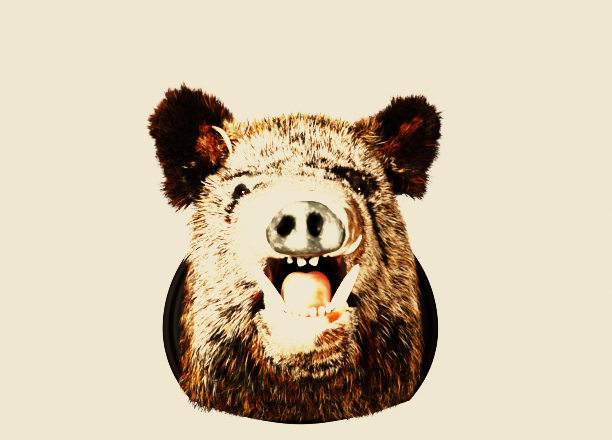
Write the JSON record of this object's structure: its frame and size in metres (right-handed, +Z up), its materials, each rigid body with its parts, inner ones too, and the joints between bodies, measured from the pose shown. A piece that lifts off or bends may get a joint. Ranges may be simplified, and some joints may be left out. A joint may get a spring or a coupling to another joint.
{
  "type": "mounted wild boar head",
  "caption": "Life-size taxidermy head and neck of a wild boar with open mouth, tusks and spread ears, on a dark wooden wall shield.",
  "frame": {"origin": "on the flat back face of the wall shield, at the height where the shield is widest, midway across", "axes": "+Y into the wall, -Y out into the room along the boar's gaze, +X towards the boar's left, +Z up"},
  "size_m": [0.4036, 0.6213, 0.4176],
  "materials": {
    "wood": "dark stained, satin lacquer",
    "steel": "plain zinc-grey",
    "hide": "bristly coat, cream, tan and black",
    "ear_hide": "short black-brown hair",
    "nose": "bare grey skin, slightly moist",
    "tongue": "wet pink",
    "eye": "polished dark brown",
    "ivory": "polished ivory"
  },
  "bodies": {
    "root": {"shield": "wood", "hanger": "steel", "neck": "hide", "head": "hide", "jaw": "hide", "nose_pad": "nose", "tongue": "tongue", "ear_left": "ear_hide", "ear_right": "ear_hide", "eye_left": "eye", "eye_right": "eye", "tusk_lower_left": "ivory", "tusk_lower_right": "ivory", "tusk_upper_left": "ivory", "tusk_upper_right": "ivory"}
  },
  "joints": []
}
